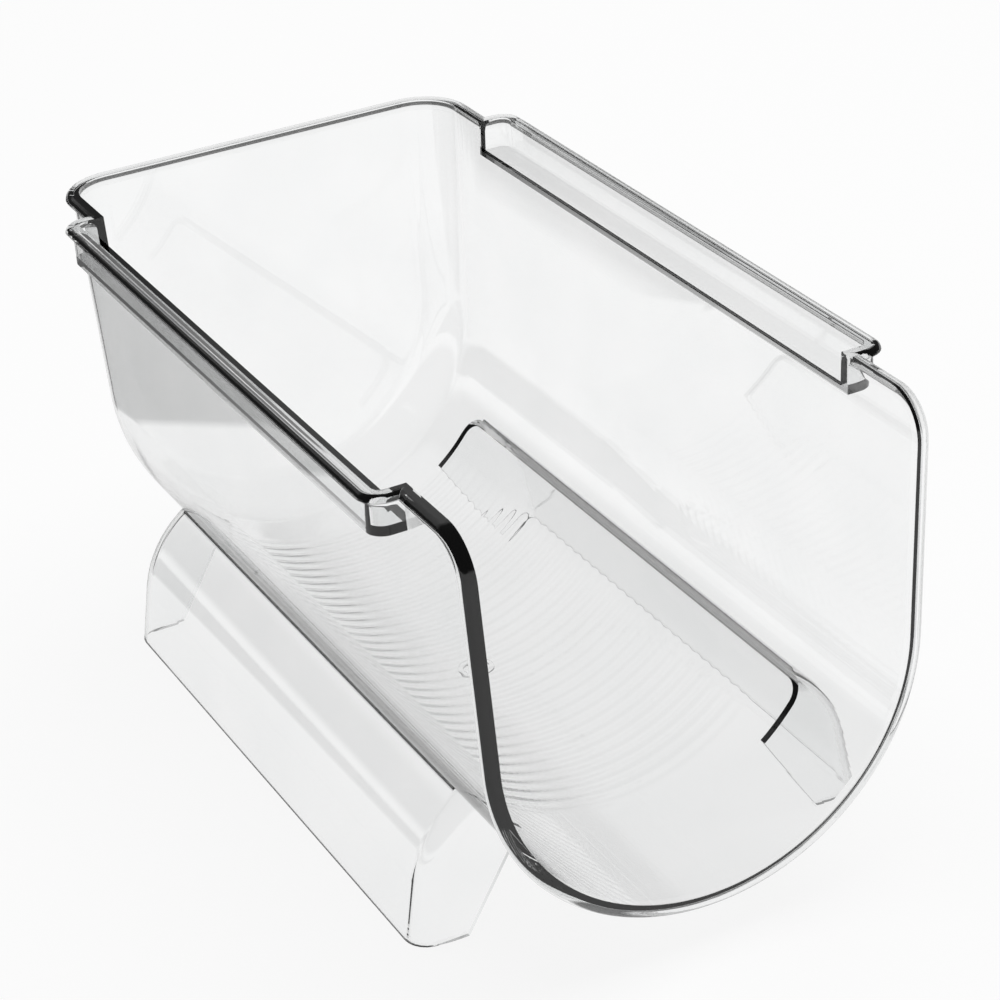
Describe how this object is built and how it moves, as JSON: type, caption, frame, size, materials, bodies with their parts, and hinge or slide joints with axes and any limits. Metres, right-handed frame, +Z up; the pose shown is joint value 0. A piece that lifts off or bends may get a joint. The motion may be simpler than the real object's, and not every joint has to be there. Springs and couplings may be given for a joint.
{
  "type": "bottle organizer",
  "caption": "Clear stackable bottle organizer: a U-shaped trough, open at the front, on two feet, with a stacking rail along each side.",
  "frame": {"origin": "on the ground, in the middle of the outline seen from above", "axes": "+X to the right as seen from the open front, +Y from the open front to the closed back, +Z up"},
  "size_m": [0.1668, 0.3, 0.154],
  "materials": {
    "clear_plastic": "polished, clear"
  },
  "bodies": {
    "root": {"back_bead": "clear_plastic", "back_floor": "clear_plastic", "back_wall": "clear_plastic", "floor_ribs": "clear_plastic", "front_bead": "clear_plastic", "gate_ring": "clear_plastic", "left_back_corner": "clear_plastic", "left_back_corner_bead": "clear_plastic", "left_foot_back_flange": "clear_plastic", "left_foot_front_flange": "clear_plastic", "left_foot_wall": "clear_plastic", "left_front_bead": "clear_plastic", "left_front_shoulder": "clear_plastic", "left_ledge": "clear_plastic", "left_lip": "clear_plastic", "left_lip_bead": "clear_plastic", "left_rail_back_bead": "clear_plastic", "left_rail_back_wall": "clear_plastic", "left_rail_front_bead": "clear_plastic", "left_rail_front_wall": "clear_plastic", "left_side_wall": "clear_plastic", "right_back_corner": "clear_plastic", "right_back_corner_bead": "clear_plastic", "right_foot_back_flange": "clear_plastic", "right_foot_front_flange": "clear_plastic", "right_foot_wall": "clear_plastic", "right_front_bead": "clear_plastic", "right_front_shoulder": "clear_plastic", "right_ledge": "clear_plastic", "right_lip": "clear_plastic", "right_lip_bead": "clear_plastic", "right_rail_back_bead": "clear_plastic", "right_rail_back_wall": "clear_plastic", "right_rail_front_bead": "clear_plastic", "right_rail_front_wall": "clear_plastic", "right_side_wall": "clear_plastic", "trough_floor": "clear_plastic"}
  },
  "joints": []
}
